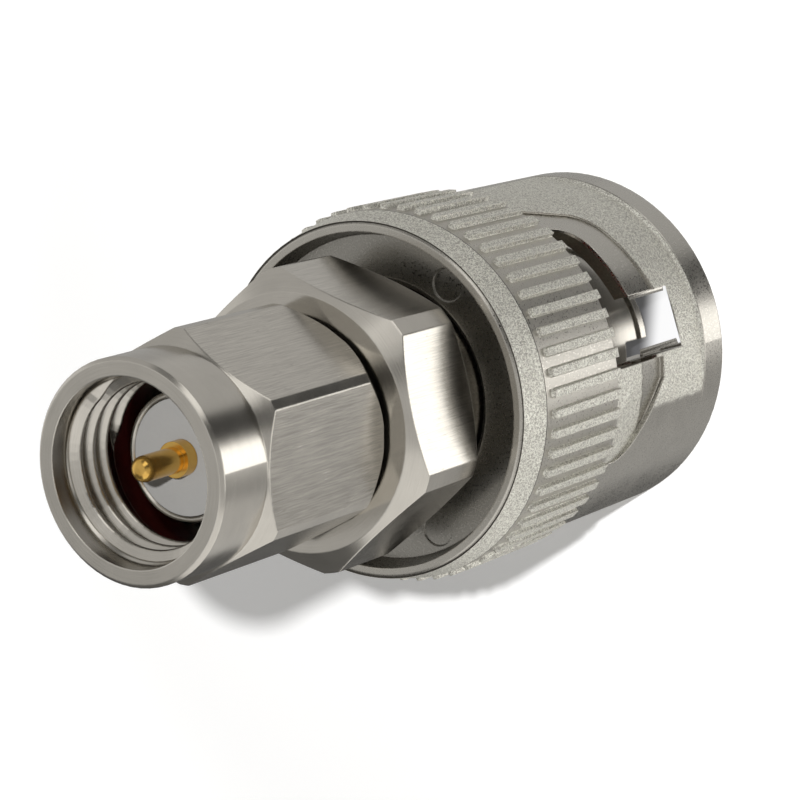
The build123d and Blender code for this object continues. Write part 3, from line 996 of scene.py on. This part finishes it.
@dataclass
class NutThread:
    """Fine thread inside the screw-on nut; sizes are in millimetres and degrees.

    Args:
        major_radius: Radius of the bore that carries it.
        pitch: Height of one turn.
        depth: How far the ridge stands in from the bore.
        crest: Width of the ridge's flat top.
        flank_angle: Angle of its sides to the plane of a turn.
        bottom: Height at which it starts.
        length: Height of all its turns.
        start_angle: Direction of its lower end.
        rounding: Radius of the crest's corners, as a share of its width.
        sunk: How far its foot lies inside the nut's wall.
        fade: Share of its length over which each end runs out.
        steps: Points in one turn.
    """

    major_radius: float = 3.175
    pitch: float = 0.7056
    depth: float = 0.33
    crest: float = 0.14
    flank_angle: float = 30.0
    bottom: float = 26.14
    length: float = 2.27
    start_angle: float = 180.0
    rounding: float = 0.22
    sunk: float = 0.02
    fade: float = 0.02
    steps: int = 64

    def build(self) -> bpy.types.Object:
        """Sweeps a ridge along a helix.

        Returns:
            The thread, riding on the nut.
        """
        slope = math.tan(math.radians(self.flank_angle))
        foot = self.crest / 2 + (self.depth + self.sunk) * slope
        round_off = self.crest * self.rounding
        shape = Shape(
            "nut_thread",
            radius=(self.major_radius + self.sunk) * MM,
            turns=self.length / self.pitch,
            height=self.length * MM,
            bottom=self.bottom * MM,
            start_angle=math.radians(self.start_angle),
            crest=(self.crest / 2) * MM,
            foot=foot * MM,
            depth=(self.depth + self.sunk) * MM,
            round_off=round_off * MM,
            steps=self.steps,
            fade=self.fade,
        )
        size = shape.sizes
        helix = shape.node("GeometryNodeCurveSpiral", None, {
            "Resolution": size["steps"], "Rotations": size["turns"], "Start Radius": size["radius"],
            "End Radius": size["radius"], "Height": size["height"],
        })
        helix = shape.node("GeometryNodeSetCurveNormal", {"mode": "Z_UP"}, {"Curve": helix})
        along = shape.node("GeometryNodeSplineParameter", out="Factor")
        swell = along.step(0.0, size["fade"]) * (1 - along).step(0.0, size["fade"])
        helix = shape.node("GeometryNodeSetCurveRadius", None, {"Curve": helix, "Radius": swell})
        outline = [
            (0.0, -1.0 * size["foot"]),
            (size["depth"] - size["round_off"], -1.0 * size["crest"] - size["round_off"] * slope),
            (size["depth"], -1.0 * size["crest"] + size["round_off"]),
            (size["depth"], size["crest"] - size["round_off"]),
            (size["depth"] - size["round_off"], size["crest"] + size["round_off"] * slope),
            (0.0, size["foot"]),
        ]
        points = shape.node("GeometryNodeCurvePrimitiveCircle", None, {
            "Resolution": len(outline), "Radius": 1.0,
        })
        index = shape.node("GeometryNodeInputIndex")
        inward: Number = 0.0
        across: Number = 0.0
        for number, (reach, side) in enumerate(outline):
            here = index.math("COMPARE", number, 0.1)
            inward = here * reach + inward
            across = here * side + across
        profile = shape.node("GeometryNodeSetPosition", None, {
            "Geometry": points, "Position": shape.join(inward, across, 0.0),
        })
        ridge = shape.node("GeometryNodeCurveToMesh", None, {
            "Curve": helix, "Profile Curve": profile, "Scale": swell, "Fill Caps": True,
        })
        ridge = shape.node("GeometryNodeTransform", None, {
            "Geometry": ridge,
            "Translation": shape.join(0.0, 0.0, size["bottom"]),
            "Rotation": shape.join(0.0, 0.0, size["start_angle"]),
        })
        ridge = shape.node("GeometryNodeSetShadeSmooth", None, {
            "Geometry": ridge, "Shade Smooth": False,
        })
        return add_piece("nut_thread", shape.mesh(ridge, NUT_NICKEL.material()), "nut", NUT_NICKEL)


@dataclass
class Ribs:
    """Ring of ribs round the bayonet coupling; sizes are in millimetres and degrees.

    Args:
        count: Number of ribs.
        phase: Direction of the first one.
        root_radius: Radius of the band between them.
        front: Height of their front ends.
        rear: Height of their rear ends.
        height: How far they stand out from the band.
        width: Width of a rib at its foot.
        rear_corner: Radius of its rear corners.
        front_corner: Radius of its front corners.
        draft: How much its sides lean in.
        edge: Radius of its rounded edges.
        edge_steps: Rise and inset of each step over that edge, as shares of the radius.
        corner_points: Points round a corner.
        least_reach: Smallest distance that counts as off a corner's centre.
        sunk: How far its foot lies inside the band.
    """

    count: int = 58
    phase: float = 0.0
    root_radius: float = 6.97
    front: float = 8.7
    rear: float = 13.6
    height: float = 0.179
    width: float = 0.45
    rear_corner: float = 0.19
    front_corner: float = 0.04
    draft: float = 0.035
    edge: float = 0.05
    edge_steps: tuple[tuple[float, float], ...] = ((0.62, 0.24), (0.38, 0.66))
    corner_points: int = 5
    least_reach: float = 1e-6
    sunk: float = 0.02

    def build(self) -> bpy.types.Object:
        """Sets rounded ribs round the coupling.

        Returns:
            The ring of ribs, riding on the coupling.
        """
        length = self.rear - self.front
        shape = Shape(
            "ribs",
            count=self.count,
            phase=math.radians(self.phase),
            radius=(self.root_radius - self.sunk) * MM,
            middle=(self.front + length / 2) * MM,
            half_length=length / 2 * MM,
            half_width=self.width / 2 * MM,
            height=(self.height + self.sunk) * MM,
            draft=self.draft * MM,
            edge=self.edge * MM,
            rear_corner=self.rear_corner * MM,
            front_corner=self.front_corner * MM,
        )
        size = shape.sizes
        outline = shape.node("GeometryNodeCurvePrimitiveQuadrilateral", None, {
            "Width": size["half_width"] * 2, "Height": size["half_length"] * 2,
        })
        x, y, _ = shape.split(shape.node("GeometryNodeInputPosition"))
        rear = y.math("GREATER_THAN", 0.0)
        corner = rear * (size["rear_corner"] - size["front_corner"]) + size["front_corner"]
        outline = shape.node("GeometryNodeFilletCurve", {"mode": "POLY"}, {
            "Curve": outline, "Count": self.corner_points, "Radius": corner, "Limit Radius": True,
        })
        rib = shape.node("GeometryNodeFillCurve", {"mode": "NGONS"}, {"Curve": outline})
        x, y, z = shape.split(shape.node("GeometryNodeInputPosition"))
        out_x, out_y = (
            (at.math("ABSOLUTE") - (size[half] - corner)).math("MAXIMUM", 0.0) * at.math("SIGN")
            for at, half in ((x, "half_width"), (y, "half_length"))
        )
        reach = (out_x * out_x + out_y * out_y).math("SQRT").math("MAXIMUM", self.least_reach * MM)
        steps = [(size["height"] - size["edge"], size["draft"])]
        steps += [(size["edge"] * up, size["edge"] * inset) for up, inset in self.edge_steps]
        for up, inset in steps:
            extruded = shape.node("GeometryNodeExtrudeMesh", None, {
                "Mesh": rib, "Offset": shape.join(0.0, 0.0, 1.0), "Offset Scale": up,
                "Individual": False,
            }).socket.node
            step = shape.join(out_x / reach * (inset * -1.0), out_y / reach * (inset * -1.0), 0.0)
            rib = shape.node("GeometryNodeSetPosition", None, {
                "Geometry": Sock(shape, extruded.outputs["Mesh"]),
                "Selection": Sock(shape, extruded.outputs["Top"]),
                "Offset": step,
            })
        rib = shape.node("GeometryNodeSetPosition", None, {
            "Geometry": rib, "Position": shape.join(z, x, y),
        })
        spots = shape.node("GeometryNodePoints", None, {"Count": size["count"]})
        turn = shape.node("GeometryNodeInputIndex") * 2 * math.pi / size["count"] + size["phase"]
        spots = shape.node("GeometryNodeSetPosition", None, {
            "Geometry": spots,
            "Position": shape.join(
                turn.math("COSINE") * size["radius"],
                turn.math("SINE") * size["radius"],
                size["middle"],
            ),
        })
        ring = shape.node("GeometryNodeInstanceOnPoints", None, {
            "Points": spots, "Instance": rib, "Rotation": shape.join(0.0, 0.0, turn),
        })
        mesh = shape.mesh(ring, RIB_NICKEL.material())
        return add_piece("coupling_ribs", mesh, "coupling", RIB_NICKEL)


@dataclass
class ScrewPlug:
    """Screw-on plug: nut with its thread, body, gasket, insulator, pin and snap ring."""

    thread: NutThread = field(default_factory=NutThread)

    def build(self) -> None:
        """Dresses the plug's nodes and adds the thread."""
        for node, finish in (
            ("sma_nut", NUT_NICKEL),
            ("hex_body", FLANGE_NICKEL),
            ("sma_snap_ring", SPRING_METAL),
            ("sma_gasket", GASKET_RED),
            ("sma_insulator", SHADED_INSULATOR),
            ("sma_pin", GOLD_PLATE),
        ):
            dress(node, finish)
        self.thread.build()


@dataclass
class BayonetPlug:
    """Bayonet plug: coupling, barrel, outer contact, insulator, pin, gasket and washers.

    Args:
        ribs: The coupling's ribs.
        band: How far from the ribs' band a point still belongs to it, in millimetres.
        spring_foot: Height of the face that the wave washers flatten on, in millimetres; not used.
        spring_keep: Share of their height that they keep when the coupling is pushed back; not used.
    """

    ribs: Ribs = field(default_factory=Ribs)
    band: float = 0.02
    spring_foot: float = 11.6
    spring_keep: float = 0.41

    def shell(self) -> bpy.types.Object:
        """Coupling without its ribs: a merged copy of the solid, with the solid's own shading.

        Returns:
            The piece, in the solid's place.
        """
        mesh, corners = merged_copy("bayonet_coupling")
        points = np.empty(len(mesh.vertices) * 3, np.float64)
        mesh.vertices.foreach_get("co", points)
        points = points.reshape(-1, 3) / MM
        radius = np.hypot(points[:, 0], points[:, 1])
        root = self.ribs.root_radius
        ring = radius > root - self.band
        ring &= points[:, 2] > self.ribs.front - self.band
        ring &= points[:, 2] < self.ribs.rear + self.band
        points[ring, :2] *= (root / radius[ring])[:, None]
        mesh.vertices.foreach_set("co", (points * MM).ravel())
        for face in mesh.polygons:
            if all(ring[number] for number in face.vertices):
                for loop in face.loop_indices:
                    spot = points[mesh.loops[loop].vertex_index]
                    corners[loop] = (spot[0] / root, spot[1] / root, 0.0)
        mesh.update()
        mesh.normals_split_custom_set(corners.tolist())
        mesh.materials.append(CAST_NICKEL.material())
        piece = add_piece("coupling_shell", mesh, "coupling", CAST_NICKEL)
        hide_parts("bayonet_coupling")
        return piece

    def wave_spring(self, washer: WaveWasher) -> bpy.types.Object:
        """Wave washer riding on the shell: a merged copy of the solid, with the solid's own shading.

        Args:
            washer: Which of the two.

        Returns:
            The piece.
        """
        node = f"wave_washer_{washer.value}"
        mesh, corners = merged_copy(node)
        mesh.normals_split_custom_set(corners.tolist())
        mesh.materials.append(SPRING_METAL.material())
        piece = add_piece(f"wave_spring_{washer.value}", mesh, "shell", SPRING_METAL)
        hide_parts(node)
        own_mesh(piece)
        return piece

    def build(self) -> None:
        """Dresses the plug's nodes, and sets the shell and its ribs in the coupling's place."""
        for node, finish in (
            ("bnc_barrel", BARREL_NICKEL),
            ("bnc_outer_contact", BARREL_NICKEL),
            ("bnc_insulator", SHADED_INSULATOR),
            ("bnc_pin", GOLD_PLATE),
            ("bnc_gasket", GASKET_RED),
            ("thrust_washer_front", SPRING_METAL),
            ("thrust_washer_rear", SPRING_METAL),
        ):
            dress(node, finish)
        for washer in WaveWasher:
            self.wave_spring(washer)
        self.shell()
        self.ribs.build()


def main() -> None:
    """Builds the studio and every sub-assembly, and reports each piece."""
    logging.basicConfig(level=logging.INFO, format="%(name)s %(message)s")
    Studio().build()
    ScrewPlug().build()
    BayonetPlug().build()


if __name__ == "__main__":
    main()
